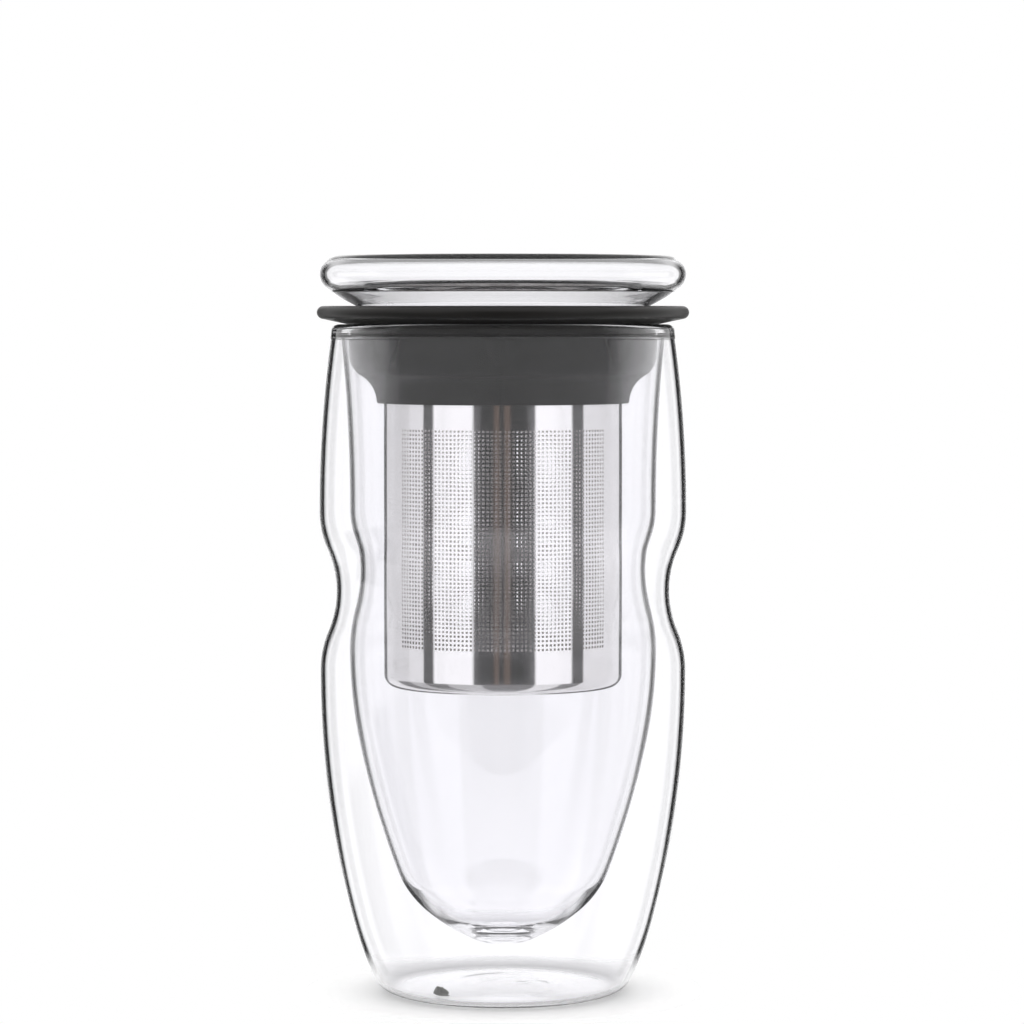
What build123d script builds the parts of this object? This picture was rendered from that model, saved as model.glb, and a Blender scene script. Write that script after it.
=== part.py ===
from build123d import *

import math
import os

# Double-wall glass tumbler with a lift-out tea infuser and a glass lid.
#
# Lengths are in millimetres and angles in degrees. Z points up, the foot stands on Z = 0, and every
# round piece but the vent plug turns about the Z axis. The front is towards -Y. The pieces are drawn
# assembled: the collar hangs in the tumbler's mouth and the lid stands on the collar's edge.
#
# Profiles are drawn in the XZ plane as (radius, height).

# ---------------------------------------------------------------- driving sizes

# Outer wall of the tumbler
tumbler_height = 156.0
outer_wall = 1.2
rim_radius = 40.25
rim_joint_height = 152.6
rim_land_height = 1.0
rim_rounding = 1.5
barrel_radius = 43.0
barrel_height = 112.5
waist_radius = 39.05
waist_height = 94.0
hip_radius = 42.85
hip_height = 75.5
heel_radius = 35.2
heel_height = 17.0
foot_radius = 30.0
foot_height = 3.0
foot_ring_width = 1.2
punt_rise = 1.8

# Inner cup of the tumbler
mouth_bore_radius = 36.3
cup_wall = 1.3
cup_barrel_radius = 35.75
cup_barrel_height = 113.0
cup_waist_radius = 33.3
cup_waist_height = 99.0
cup_hip_radius = 35.85
cup_hip_height = 80.0
bowl_side_radius = 33.6
bowl_side_height = 58.5
bowl_turn_radius = 25.0
bowl_turn_height = 29.0
bowl_heel_radius = 17.9
bowl_heel_height = 19.0
cup_bottom_height = 11.8
cup_floor_thickness = 2.5

# Vent plug in the base of the outer wall
vent_hole_radius = 1.5
vent_ring_radius = 21.0
vent_angle = 230.0
plug_head_radius = 2.4
plug_head_height = 2.6
plug_clearance = 0.05
plug_recess = 0.3

# Silicone collar, its depths measured down from the top of its flange
flange_radius = 43.3
flange_thickness = 3.0
flange_root_depth = 4.4
neck_clearance = 0.7
neck_depth = 5.6
bulb_clearance = 0.3
bulb_depth = 10.5
kink_radius = 33.6
kink_depth = 15.8
collar_foot_radius = 29.4
collar_depth = 22.5
funnel_rounding = 0.4
flute_count = 8
flute_width = 6.8
flute_top_depth = 6.3
flute_middle_depth = 9.9
flute_bottom_depth = 15.5
flute_rounding = 1.0

# Steel basket, its depths measured down from the top of the collar's flange
basket_radius = 27.8
basket_sheet = 0.4
basket_grip_clearance = 0.05
basket_flange_clearance = 0.3
basket_depth = 88.5
basket_corner_radius = 2.7
basket_base_height = 3.4

# Perforation of the basket, coarser than the real one and just as open
perforation_pitch = 4.0
perforation_hole = 2.0
perforation_top_depth = 28.0
perforation_bottom_depth = 78.6
front_panel_angle = 112.0
plain_strip_angle = 17.0
floor_field_radius = 20.0
floor_pitch = 4.4

# Glass lid
lid_radius = 42.8
lid_wall = 1.8
lid_edge_rise = 4.2
lid_edge_drop = 4.3
lid_dome_lean = 3.0
lid_shoulder_lean = 27.0
lid_shoulder_rounding = 1.5
lid_neck_radius = 33.6
lid_neck_waist_radius = 32.8
lid_neck_waist_height = 2.4
lid_lip_radius = 33.1
lid_skirt_height = 5.5
lid_lip_rounding = 0.85
lid_funnel_clearance = 0.6

# Gaps where the pieces that lift off stand on each other
collar_seat_gap = 0.25
lid_seat_gap = 0.25
lip_ledge_gap = 0.35

# ---------------------------------------------------------------- outer wall of the tumbler


def swell(upper, lower):
    """Draw the S of two equal arcs between two (radius, height) stations where the wall is upright."""
    middle = ((upper[0] + lower[0]) / 2, (upper[1] + lower[1]) / 2)
    TangentArc(upper, middle, tangent=(0, -1))
    TangentArc(lower, middle, tangent=(0, 1))


barrel = (barrel_radius, barrel_height)
waist = (waist_radius, waist_height)
hip = (hip_radius, hip_height)
rim_land_bottom = rim_joint_height - rim_land_height
vent_turn = math.radians(vent_angle)
vent_place = (vent_ring_radius * math.cos(vent_turn), vent_ring_radius * math.sin(vent_turn))

with BuildPart() as outer_glass:
    with BuildSketch(Plane.XZ):
        with BuildLine():
            Line((rim_radius, rim_joint_height), (rim_radius, rim_land_bottom))
            TangentArc(barrel, (rim_radius, rim_land_bottom), tangent=(0, 1))
            swell(barrel, waist)
            swell(waist, hip)
            belly = TangentArc(hip, (heel_radius, heel_height), tangent=(0, -1))
            heel = TangentArc(belly @ 1, (foot_radius, foot_height), tangent=belly % 1)
            # The foot arc starts with the heel's lean and ends level on the ground.
            heel_lean = heel % 1
            foot_bend = foot_height / (1 + heel_lean.X)
            ring_outside = foot_radius + foot_bend * heel_lean.Y
            ring_inside = ring_outside - foot_ring_width
            TangentArc(heel @ 1, (ring_outside, 0), tangent=heel_lean)
            Line((ring_outside, 0), (ring_inside, 0))
            TangentArc((0, punt_rise), (ring_inside, 0), tangent=(1, 0))
            offset(amount=outer_wall, side=Side.RIGHT)
        make_face()
    revolve(axis=Axis.Z)
    with Locations(vent_place):
        Cylinder(vent_hole_radius, 2 * (punt_rise + outer_wall), mode=Mode.SUBTRACT)

# ---------------------------------------------------------------- inner cup and the fused rim

cup_mouth_radius = mouth_bore_radius + cup_wall
cup_barrel = (cup_barrel_radius, cup_barrel_height)
cup_waist = (cup_waist_radius, cup_waist_height)
cup_hip = (cup_hip_radius, cup_hip_height)
cup_floor_height = cup_bottom_height + cup_floor_thickness

with BuildPart() as inner_glass:
    with BuildSketch(Plane.XZ):
        with BuildLine():
            Line((cup_mouth_radius, rim_joint_height), (cup_mouth_radius, rim_land_bottom))
            TangentArc(cup_barrel, (cup_mouth_radius, rim_land_bottom), tangent=(0, 1))
            swell(cup_barrel, cup_waist)
            swell(cup_waist, cup_hip)
            bowl_side = TangentArc(cup_hip, (bowl_side_radius, bowl_side_height), tangent=(0, -1))
            bowl_turn = TangentArc(
                bowl_side @ 1, (bowl_turn_radius, bowl_turn_height), tangent=bowl_side % 1
            )
            bowl_heel = TangentArc(
                bowl_turn @ 1, (bowl_heel_radius, bowl_heel_height), tangent=bowl_turn % 1
            )
            bowl_bottom = TangentArc((0, cup_bottom_height), bowl_heel @ 1, tangent=(1, 0))
            offset(amount=cup_wall, side=Side.RIGHT)
        make_face()
    revolve(axis=Axis.Z)
    # The rim bead is drawn out over the gap and meets the outer wall.
    with BuildSketch(Plane.XZ):
        with BuildLine():
            Polyline(
                (mouth_bore_radius, rim_joint_height),
                (rim_radius, rim_joint_height),
                (rim_radius, tumbler_height),
                (mouth_bore_radius, tumbler_height),
                close=True,
            )
        bead = make_face()
        fillet(bead.vertices().group_by(Axis.Y)[-1], radius=rim_rounding)
    revolve(axis=Axis.Z)
    # Glass pools level in the bottom of the cup, out to where its top meets the middle of the wall.
    middle_bend = bowl_bottom.radius - cup_wall / 2
    pool_drop = cup_bottom_height + bowl_bottom.radius - cup_floor_height
    pool_radius = math.sqrt(middle_bend**2 - pool_drop**2)
    with BuildSketch(Plane.XZ):
        with BuildLine():
            Polyline(
                (0, cup_bottom_height + cup_wall / 2),
                (pool_radius, cup_floor_height),
                (0, cup_floor_height),
                close=True,
            )
        make_face()
    revolve(axis=Axis.Z)

# ---------------------------------------------------------------- vent plug

# The base is a dome of this bend, so its two faces at the plug follow from the punt.
punt_bend = (ring_inside**2 + punt_rise**2) / (2 * punt_rise)
vent_drop = punt_bend - math.sqrt(punt_bend**2 - (vent_ring_radius - plug_head_radius) ** 2)
plug_seat_height = punt_rise - vent_drop + outer_wall + plug_clearance
plug_shank_radius = vent_hole_radius - plug_clearance

with BuildPart() as vent_plug:
    with BuildSketch(Plane.XY.offset(plug_recess)):
        with Locations(vent_place):
            Circle(plug_shank_radius)
    extrude(amount=plug_seat_height - plug_recess + plug_head_height / 2)
    with BuildSketch(Plane.XY.offset(plug_seat_height)):
        with Locations(vent_place):
            Circle(plug_head_radius)
    extrude(amount=plug_head_height)
    fillet(vent_plug.edges().group_by(Axis.Z)[-1], radius=plug_head_height / 2)

# ---------------------------------------------------------------- seats of the lifting pieces

neck_radius = mouth_bore_radius - neck_clearance
bulb_radius = mouth_bore_radius - bulb_clearance
funnel_radius = lid_neck_radius + lid_funnel_clearance

# The sloping underside of the flange stands clear of the bead's rounded inner edge.
flange_end_radius = flange_radius - flange_thickness / 2
underside_slope = (flange_root_depth - flange_thickness) / (flange_end_radius - neck_radius)
bead_centre_radius = mouth_bore_radius + rim_rounding
depth_over_bead = flange_root_depth - underside_slope * (bead_centre_radius - neck_radius)
bead_reach = (rim_rounding + collar_seat_gap) * math.hypot(1, underside_slope)
collar_top = tumbler_height - rim_rounding + bead_reach + depth_over_bead

# The lid's conical shoulder stands clear of the funnel's rounded edge. It starts where the arc under
# the lid's edge has turned to its lean.
shoulder_slope = math.tan(math.radians(lid_shoulder_lean))
edge_under_turn = 90 - lid_shoulder_lean
edge_under_bend = lid_edge_drop / math.sin(math.radians(edge_under_turn))
shoulder_radius = lid_radius - edge_under_bend * (1 - math.cos(math.radians(edge_under_turn)))
funnel_edge_radius = funnel_radius + funnel_rounding
edge_reach = (funnel_rounding + lid_seat_gap) * math.hypot(1, shoulder_slope)
edge_rise = shoulder_slope * (shoulder_radius - funnel_edge_radius)
lid_base = collar_top - funnel_rounding + edge_reach + edge_rise
lid_neck_height = lid_base - shoulder_slope * (shoulder_radius - lid_neck_radius)
lid_lip_height = lid_neck_height - lid_skirt_height

# The basket's flange lies under the lid's lip, on the ledge of the collar.
flange_top_height = lid_lip_height - lip_ledge_gap
ledge_height = flange_top_height - basket_sheet
basket_bottom = collar_top - basket_depth
wall_bottom = basket_bottom + basket_base_height

# ---------------------------------------------------------------- silicone collar

flute_top = collar_top - flute_top_depth
flute_middle = collar_top - flute_middle_depth
flute_bottom = collar_top - flute_bottom_depth
flute_widest = (bulb_radius + flute_width / 2, flute_middle)

with BuildPart() as flute_cutter:
    with BuildSketch(Plane.XZ):
        with BuildLine():
            TangentArc(flute_widest, (bulb_radius, flute_top), tangent=(0, 1))
            TangentArc(flute_widest, (bulb_radius, flute_bottom), tangent=(0, -1))
            Line((bulb_radius, flute_top), (bulb_radius, flute_bottom))
        make_face()
    revolve(axis=Axis((bulb_radius, 0, 0), (0, 0, 1)))

bore_radius = basket_radius + basket_grip_clearance
bulb = (bulb_radius, collar_top - bulb_depth)
kink = (kink_radius, collar_top - kink_depth)
neck_bottom = (neck_radius, collar_top - neck_depth)
collar_bottom = collar_top - collar_depth
mid_lobe_plane = Plane.XZ.rotated((0, 0, 180 / flute_count))

with BuildPart() as silicone_collar:
    with BuildSketch(mid_lobe_plane):
        with BuildLine():
            flange_top_end = (flange_end_radius, collar_top)
            flange_bottom_end = (flange_end_radius, collar_top - flange_thickness)
            ThreePointArc(
                flange_top_end, (flange_radius, collar_top - flange_thickness / 2), flange_bottom_end
            )
            Line(flange_bottom_end, (neck_radius, collar_top - flange_root_depth))
            Line((neck_radius, collar_top - flange_root_depth), neck_bottom)
            TangentArc(bulb, neck_bottom, tangent=(0, 1))
            TangentArc(bulb, kink, tangent=(0, -1))
            TangentArc((collar_foot_radius, collar_bottom), kink, tangent=(0, 1))
            Polyline(
                (collar_foot_radius, collar_bottom),
                (bore_radius, collar_bottom),
                (bore_radius, ledge_height),
                (funnel_radius, ledge_height),
                (funnel_radius, collar_top),
                flange_top_end,
            )
        section = make_face()
        funnel_corner = section.vertices().group_by(Axis.Y)[-1].sort_by(Axis.X)[0]
        fillet(funnel_corner, radius=funnel_rounding)
    revolve(axis=Axis.Z)
    with PolarLocations(0, flute_count):
        add(flute_cutter.part, mode=Mode.SUBTRACT)
    flute_mouths = silicone_collar.edges().filter_by(GeomType.BSPLINE)
    fillet(flute_mouths, radius=flute_rounding)

# ---------------------------------------------------------------- steel basket

perforation_height = perforation_bottom_depth - perforation_top_depth
row_count = int((perforation_height - perforation_hole) / perforation_pitch) + 1
pitch_angle = math.degrees(perforation_pitch / basket_radius)
back_panel_angle = (360 - front_panel_angle - 3 * plain_strip_angle) / 2
back_panel_turn = front_panel_angle / 2 + plain_strip_angle + back_panel_angle / 2
perforation_middle = collar_top - (perforation_top_depth + perforation_bottom_depth) / 2

with BuildPart() as basket_wall:
    with BuildSketch(Plane.XZ):
        with BuildLine():
            Polyline(
                (basket_radius, wall_bottom),
                (basket_radius, ledge_height),
                (funnel_radius - basket_flange_clearance, ledge_height),
                (funnel_radius - basket_flange_clearance, flange_top_height),
                (basket_radius - basket_sheet, flange_top_height),
                (basket_radius - basket_sheet, wall_bottom),
                close=True,
            )
        make_face()
    revolve(axis=Axis.Z)
    for panel_turn, panel_angle in (
        (-90, front_panel_angle),
        (-90 - back_panel_turn, back_panel_angle),
        (-90 + back_panel_turn, back_panel_angle),
    ):
        hole_angle = math.degrees(perforation_hole / basket_radius)
        column_count = int((panel_angle - hole_angle) / pitch_angle) + 1
        spread = (column_count - 1) * pitch_angle
        rows = [
            (0, 0, perforation_middle + (row - (row_count - 1) / 2) * perforation_pitch)
            for row in range(row_count)
        ]
        with Locations(*rows):
            with PolarLocations(basket_radius, column_count, panel_turn - spread / 2, spread, endpoint=True):
                Box(4 * basket_sheet, perforation_hole, perforation_hole, mode=Mode.SUBTRACT)

with BuildPart() as basket_base:
    with BuildSketch(Plane.XZ):
        with BuildLine():
            skirt = Line((basket_radius, wall_bottom), (basket_radius, basket_bottom + basket_corner_radius))
            corner = JernArc(skirt @ 1, (0, -1), basket_corner_radius, -90)
            Line(corner @ 1, (0, basket_bottom))
            offset(amount=basket_sheet, side=Side.RIGHT)
        make_face()
    revolve(axis=Axis.Z)
    for ring in range(1, int(floor_field_radius / floor_pitch) + 1):
        with Locations((0, 0, basket_bottom)):
            with PolarLocations(ring * floor_pitch, 6 * ring):
                Box(perforation_hole, perforation_hole, 4 * basket_sheet, mode=Mode.SUBTRACT)

# ---------------------------------------------------------------- glass lid

edge_over_turn = 90 - lid_dome_lean
edge_over_bend = lid_edge_rise / math.sin(math.radians(edge_over_turn))
lid_edge = (lid_radius, lid_base + lid_edge_drop)
lid_neck_waist = (lid_neck_waist_radius, lid_lip_height + lid_neck_waist_height)

with BuildPart() as lid_glass:
    with BuildSketch(Plane.XZ):
        with BuildLine():
            edge_over = JernArc(lid_edge, (0, 1), edge_over_bend, edge_over_turn)
            dome_edge = edge_over @ 1
            dome_rise = dome_edge.X * math.tan(math.radians(lid_dome_lean / 2))
            TangentArc(dome_edge, (0, dome_edge.Y + dome_rise), tangent=edge_over % 1)
            edge_under = JernArc(lid_edge, (0, -1), edge_under_bend, -edge_under_turn)
            shoulder = Line(edge_under @ 1, (lid_neck_radius, lid_neck_height))
            TangentArc(lid_neck_waist, shoulder @ 1, tangent=(0, 1))
            swell(lid_neck_waist, (lid_lip_radius, lid_lip_height))
            fillet(shoulder.vertices().sort_by(Axis.Y)[0], radius=lid_shoulder_rounding)
            offset(amount=lid_wall, side=Side.LEFT)
        lid_section = make_face()
        fillet(lid_section.vertices().group_by(Axis.Y)[0], radius=lid_lip_rounding)
    revolve(axis=Axis.Z)

# ---------------------------------------------------------------- finished pieces

pieces = {
    "outer_glass": outer_glass,
    "inner_glass": inner_glass,
    "vent_plug": vent_plug,
    "silicone_collar": silicone_collar,
    "basket_wall": basket_wall,
    "basket_base": basket_base,
    "lid_glass": lid_glass,
}

os.makedirs("parts", exist_ok=True)
for piece_name, piece in pieces.items():
    piece.part.label = piece_name
    export_step(piece.part, f"parts/{piece_name}.step")
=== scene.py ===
"""Looks of a double-wall glass tea tumbler with a steel infuser basket and a glass lid."""

import logging
import math
from dataclasses import dataclass, field
from enum import Enum

import bmesh
import bpy
import numpy as np
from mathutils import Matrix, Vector


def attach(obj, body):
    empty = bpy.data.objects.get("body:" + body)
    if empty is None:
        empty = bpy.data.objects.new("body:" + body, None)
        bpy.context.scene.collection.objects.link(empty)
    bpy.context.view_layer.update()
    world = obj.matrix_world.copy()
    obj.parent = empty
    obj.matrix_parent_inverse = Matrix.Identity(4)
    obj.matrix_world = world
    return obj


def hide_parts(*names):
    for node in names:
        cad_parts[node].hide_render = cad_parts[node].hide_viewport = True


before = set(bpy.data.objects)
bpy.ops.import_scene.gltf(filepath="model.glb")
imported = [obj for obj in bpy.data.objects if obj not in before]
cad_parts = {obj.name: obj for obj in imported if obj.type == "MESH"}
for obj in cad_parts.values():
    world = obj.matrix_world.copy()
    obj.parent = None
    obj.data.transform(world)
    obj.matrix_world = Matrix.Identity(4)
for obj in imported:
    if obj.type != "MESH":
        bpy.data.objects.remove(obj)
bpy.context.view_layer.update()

log = logging.getLogger("tumbler")

MM = 0.001  # in metres
TINY = 1e-6  # too small a length to count
LONGEST_STEP = 2.0  # between two points of an arc, in millimetres

Point = tuple[float, float]
Triple = tuple[float, float, float]
Node = bpy.types.Node
Socket = bpy.types.NodeSocket
Feed = Socket | float | Triple
Material = bpy.types.Material
Object = bpy.types.Object
Mesh = bmesh.types.BMesh
Vert = bmesh.types.BMVert


class Body(Enum):
    """The three things that come apart in the hand."""

    TUMBLER = "tumbler"
    INFUSER = "infuser"
    LID = "lid"


class Slot(Enum):
    """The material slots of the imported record."""

    GLASS = "clear_glass"
    SILICONE = "black_silicone"
    PLUG = "plug_silicone"
    STEEL = "polished_steel"


# ---- outlines and meshes


def ease(value: float, start: float, end: float) -> float:
    """A smooth step that is 0 at start and 1 at end."""
    share = min(1.0, max(0.0, (value - start) / (end - start)))
    return share * share * (3 - 2 * share)


class Outline:
    """A run of (radius, height) points in millimetres, with the way it heads at each point."""

    def __init__(self) -> None:
        """Start an outline with no points."""
        self.points: list[Point] = []
        self.headings: list[Point] = []

    def put(self, point: Point, heading: Point) -> None:
        """Add a point unless the outline already stands there.

        Args:
            point: Radius and height.
            heading: The way the outline goes on from the point.
        """
        if self.points and math.dist(self.points[-1], point) < TINY:
            return
        size = math.hypot(*heading)
        self.points.append(point)
        self.headings.append((heading[0] / size, heading[1] / size))

    def line(self, start: Point, end: Point, pieces: int = 1) -> None:
        """Add a straight run.

        Args:
            start: Where it begins.
            end: Where it ends.
            pieces: How many equal stretches it is cut into.
        """
        heading = (end[0] - start[0], end[1] - start[1])
        for i in range(pieces + 1):
            share = i / pieces
            self.put((start[0] + heading[0] * share, start[1] + heading[1] * share), heading)

    def arc(self, start: Point, heading: Point, end: Point, turn: float = 3.0) -> Point:
        """Add the arc that leaves start with a heading and comes to end.

        Args:
            start: Where it begins.
            heading: The way it leaves.
            end: Where it ends.
            turn: The most that the arc may turn between two points, in degrees.

        Returns:
            The heading at the end.
        """
        size = math.hypot(*heading)
        along = (heading[0] / size, heading[1] / size)
        side = (along[1], -along[0])
        chord = (end[0] - start[0], end[1] - start[1])
        offside = chord[0] * side[0] + chord[1] * side[1]
        ahead = chord[0] * along[0] + chord[1] * along[1]
        bend = (offside**2 + ahead**2) / (2 * offside)
        sweep = 2 * math.atan2(offside, ahead)
        steps = (abs(math.degrees(sweep)) / turn, math.hypot(*chord) / LONGEST_STEP)
        count = max(2, *map(math.ceil, steps))
        for i in range(count + 1):
            sin, cos = math.sin(sweep * i / count), math.cos(sweep * i / count)
            forth, off = bend * sin, bend * (1 - cos)
            point = tuple(start[k] + along[k] * forth + side[k] * off for k in (0, 1))
            self.put(point, tuple(along[k] * cos + side[k] * sin for k in (0, 1)))
        return self.headings[-1]

    def arc_into(self, start: Point, end: Point, heading: Point, turn: float = 3.0) -> None:
        """Add the arc from start that comes to end with a heading.

        Args:
            start: Where it begins.
            end: Where it ends.
            heading: The way it goes when it reaches the end.
            turn: The most that the arc may turn between two points, in degrees.
        """
        back = Outline()
        back.arc(end, (-heading[0], -heading[1]), start, turn)
        for point, way in zip(reversed(back.points), reversed(back.headings)):
            self.put(point, (-way[0], -way[1]))

    def swell(self, upper: Point, lower: Point) -> None:
        """Add the S of two equal arcs between two stations where the wall is upright.

        Args:
            upper: The higher station.
            lower: The lower station.
        """
        middle = ((upper[0] + lower[0]) / 2, (upper[1] + lower[1]) / 2)
        self.arc(upper, (0, -1), middle)
        self.arc_into(middle, lower, (0, -1))

    def beside(self, wall: float) -> list[Point]:
        """The line that runs beside this one, on its right hand.

        Args:
            wall: How far off it runs.

        Returns:
            Its points, none of them past the axis.
        """
        moved = [
            (p[0] + h[1] * wall, p[1] - h[0] * wall) for p, h in zip(self.points, self.headings)
        ]
        off_axis = [p for p in moved if p[0] > TINY]
        if self.points[0][0] < TINY:
            return [(0.0, moved[0][1]), *off_axis]
        if self.points[-1][0] < TINY:
            return [*off_axis, (0.0, moved[-1][1])]
        return off_axis


def finish_mesh(piece_mesh: Mesh, name: str, sharp: float = 40.0) -> Object:
    """Make an object of a mesh in millimetres, smooth apart from its sharp corners.

    Args:
        piece_mesh: The mesh, which is used up.
        name: The piece's name.
        sharp: The turn in degrees from which a corner stays sharp.

    Returns:
        The new object.
    """
    bmesh.ops.scale(piece_mesh, vec=(MM, MM, MM), verts=piece_mesh.verts)
    mesh = bpy.data.meshes.new(name)
    piece_mesh.to_mesh(mesh)
    piece_mesh.free()
    mesh.polygons.foreach_set("use_smooth", np.ones(len(mesh.polygons), bool))
    mesh.set_sharp_from_angle(angle=math.radians(sharp))
    piece = bpy.data.objects.new(name, mesh)
    bpy.context.scene.collection.objects.link(piece)
    return piece


def around(count: int) -> list[tuple[int, int]]:
    """Each place of a closed row together with the next one."""
    return [(i, (i + 1) % count) for i in range(count)]


def add_ring(mesh: Mesh, point: Point, turns: list[float]) -> list[Vert]:
    """Add a ring of vertices round the axis.

    Args:
        mesh: The mesh that gets it.
        point: The ring's radius and height.
        turns: The angle of each vertex, in radians.

    Returns:
        The vertices, which are one and the same where the ring lies on the axis.
    """
    radius, height = point
    if radius < TINY:
        return [mesh.verts.new((0, 0, height))] * len(turns)
    return [mesh.verts.new((radius * math.cos(a), radius * math.sin(a), height)) for a in turns]


def add_band(mesh: Mesh, here: list[Vert], there: list[Vert]) -> None:
    """Join two rings with a band of faces."""
    for i, j in around(len(here)):
        mesh.faces.new((here[i], here[j], there[j], there[i]))


def spin(mesh: Mesh, line: list[Point], segments: int) -> None:
    """Turn a line about the axis. Going along the line, the surface faces its left hand.

    Args:
        mesh: The mesh that gets the surface.
        line: Points as (radius, height). One that lies on the axis becomes a single vertex.
        segments: How many steps make the turn.
    """
    turns = [2 * math.pi * i / segments for i in range(segments)]
    rings = [add_ring(mesh, point, turns) for point in line]
    for here, there in zip(rings, rings[1:]):
        for i, j in around(segments):
            corners = list(dict.fromkeys((here[i], there[i], there[j], here[j])))
            if len(corners) > 2:
                mesh.faces.new(corners)


# ---- finishes


class Tree:
    """The node tree of a finish or of the world, with the steps that they share."""

    def __init__(self, owner: Material | bpy.types.World) -> None:
        """Take up the tree of a material or of the world."""
        owner.use_nodes = True
        self.nodes, self.links = owner.node_tree.nodes, owner.node_tree.links

    def feed(self, socket: Socket, value: Feed) -> None:
        """Join a socket to another, or set it to a number or a colour.

        Args:
            socket: The socket that is fed.
            value: A socket, a number, or three numbers.
        """
        if isinstance(value, Socket):
            self.links.new(value, socket)
        elif isinstance(value, tuple) and socket.type == "RGBA":
            socket.default_value = (*value, 1)
        else:
            socket.default_value = value

    def add(self, kind: str, feeds: dict[str | int, Feed] | None = None, **values: object) -> Node:
        """Add a node.

        Args:
            kind: The node's type, without ShaderNode in front.
            feeds: What its sockets get, by name or by number.
            values: The node's own properties.

        Returns:
            The new node.
        """
        node = self.nodes.new("ShaderNode" + kind)
        for name, value in values.items():
            setattr(node, name, value)
        for name, value in (feeds or {}).items():
            self.feed(node.inputs[name], value)
        return node

    def noise(
        self, scale: float, detail: float, roughness: float = 0.5, stretch: Triple | None = None
    ) -> Socket:
        """Cloudy noise that stays put on the piece.

        Args:
            scale: How many clouds there are to the metre.
            detail: How many finer layers it has.
            roughness: How strong the finer layers are.
            stretch: How much closer the clouds lie along each axis.

        Returns:
            The noise, from 0 to 1.
        """
        place = self.add("TexCoord").outputs["Object"]
        if stretch:
            place = self.add("Mapping", {"Vector": place, "Scale": stretch}).outputs["Vector"]
        feeds = {"Vector": place, "Scale": scale, "Detail": detail, "Roughness": roughness}
        return self.add("TexNoise", feeds).outputs["Fac"]

    def spread(
        self, value: Feed, span: Point = (0.0, 1.0), to: Point = (0.0, 1.0), smooth: bool = False
    ) -> Socket:
        """Turn one range of values into another.

        Args:
            value: The value.
            span: The two ends that it runs between.
            to: What it becomes at those ends.
            smooth: Whether it eases in and out.

        Returns:
            The new value.
        """
        feeds = {"Value": value, "From Min": span[0], "From Max": span[1]}
        feeds |= {"To Min": to[0], "To Max": to[1]}
        kind = "SMOOTHSTEP" if smooth else "LINEAR"
        return self.add("MapRange", feeds, interpolation_type=kind).outputs["Result"]

    def blend(self, share: Socket, first: Feed, second: Feed) -> Socket:
        """The blend of two colours, which is the second one where the share is 1."""
        feeds = {"Factor": share, "A": first, "B": second}
        return self.add("Mix", feeds, data_type="RGBA").outputs["Result"]

    def maths(self, operation: str, first: Feed, second: Feed, clamp: bool = False) -> Socket:
        """The outcome of an operation on two values, kept within 0 and 1 if it is clamped."""
        node = self.add("Math", {0: first, 1: second}, operation=operation, use_clamp=clamp)
        return node.outputs[0]

    def bump(self, height: Socket, strength: float, depth: float) -> Socket:
        """The slope of a fine relief, of a strength from 0 to 1 and a depth in metres."""
        feeds = {"Strength": strength, "Distance": depth, "Height": height}
        return self.add("Bump", feeds).outputs["Normal"]


@dataclass(frozen=True)
class Finish:
    """What a surface looks like."""

    name: str

    def coat(self, tree: Tree) -> dict[str, Feed]:
        """Work out what the main shader gets.

        Args:
            tree: The finish's node tree.

        Returns:
            What feeds each of the shader's sockets.
        """
        raise NotImplementedError

    def material(self) -> Material:
        """Make the finish.

        Returns:
            The material, ready to go on a piece.
        """
        material = bpy.data.materials.new(self.name)
        tree = Tree(material)
        shader = tree.nodes["Principled BSDF"]
        for name, value in self.coat(tree).items():
            tree.feed(shader.inputs[name], value)
        return material


@dataclass(frozen=True)
class BlownGlass(Finish):
    """Clear blown glass, with the slow waves that blowing leaves."""

    name: str = "clear_blown_glass"
    tint: Triple = (0.989, 0.987, 1.0)
    bend: float = 1.47
    clearness: float = 0.996
    wave_scale: float = 26.0
    wave_roughness: float = 0.3
    wave_strength: float = 0.35
    wave_depth: float = 0.00004

    def coat(self, tree: Tree) -> dict[str, Feed]:
        """Clear and smooth, with its waves.

        Args:
            tree: The finish's node tree.

        Returns:
            What feeds each of the shader's sockets.
        """
        waves = tree.noise(self.wave_scale, 1.0, self.wave_roughness)
        return {
            "Base Color": self.tint,
            "Transmission Weight": self.clearness,
            "IOR": self.bend,
            "Roughness": 0.0,
            "Normal": tree.bump(waves, self.wave_strength, self.wave_depth),
        }


@dataclass(frozen=True)
class BlackSilicone(Finish):
    """Moulded black silicone: satin, with a fine tooth and a breath of dust."""

    name: str = "black_moulded_silicone"
    deep: Triple = (0.0075, 0.0068, 0.0064)
    dusty: Triple = (0.014, 0.0122, 0.0112)
    dust_scale: float = 95.0
    dust_roughness: float = 0.6
    dullness: Point = (0.34, 0.5)
    shine: float = 0.22
    sheen: float = 0.04
    sheen_roughness: float = 0.5
    tooth_scale: float = 1900.0
    tooth_strength: float = 0.35
    tooth_depth: float = 0.00004

    def coat(self, tree: Tree) -> dict[str, Feed]:
        """Black with clouds of dust, which are duller, and its tooth.

        Args:
            tree: The finish's node tree.

        Returns:
            What feeds each of the shader's sockets.
        """
        dust = tree.noise(self.dust_scale, 5.0, self.dust_roughness)
        tooth = tree.noise(self.tooth_scale, 2.0)
        return {
            "Base Color": tree.blend(dust, self.deep, self.dusty),
            "Roughness": tree.spread(dust, to=self.dullness),
            "Specular IOR Level": self.shine,
            "Sheen Weight": self.sheen,
            "Sheen Roughness": self.sheen_roughness,
            "Normal": tree.bump(tooth, self.tooth_strength, self.tooth_depth),
        }


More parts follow.
